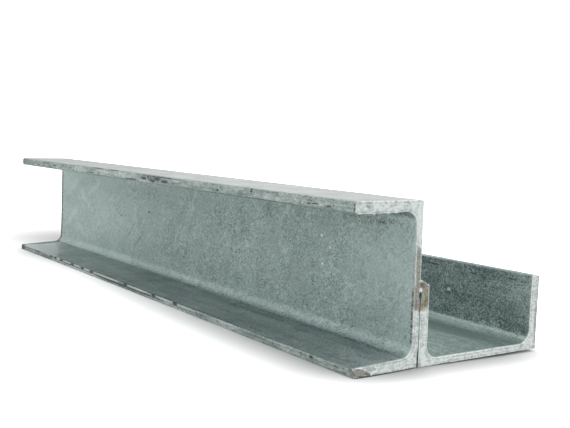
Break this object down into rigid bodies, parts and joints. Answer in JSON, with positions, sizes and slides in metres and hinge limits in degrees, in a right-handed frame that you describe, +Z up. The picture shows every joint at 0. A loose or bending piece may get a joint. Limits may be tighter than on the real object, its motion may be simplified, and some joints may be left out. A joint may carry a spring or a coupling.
{
  "type": "steel corner post",
  "caption": "Right-angle corner post of welded steel channel: the standing channel opens sideways, and the lying channel against its back opens upwards, as slots for the ends of wall panels.",
  "frame": {"origin": "middle of the underside of the whole post's box", "axes": "+X along the post, +Y from the standing channel to the lying channel, +Z up, which is the way the lying channel opens"},
  "size_m": [0.6, 0.1504, 0.1],
  "materials": {
    "standing_channel_zinc": "matte hot-dip galvanised, mottled grey",
    "lying_channel_zinc": "matte hot-dip galvanised, mottled grey",
    "weld_zinc": "rippled weld bead under zinc"
  },
  "bodies": {
    "root": {"standing_channel": "standing_channel_zinc", "lying_channel": "lying_channel_zinc", "toe_weld_1": "weld_zinc", "toe_weld_2": "weld_zinc", "toe_weld_3": "weld_zinc", "toe_weld_4": "weld_zinc"}
  },
  "joints": []
}
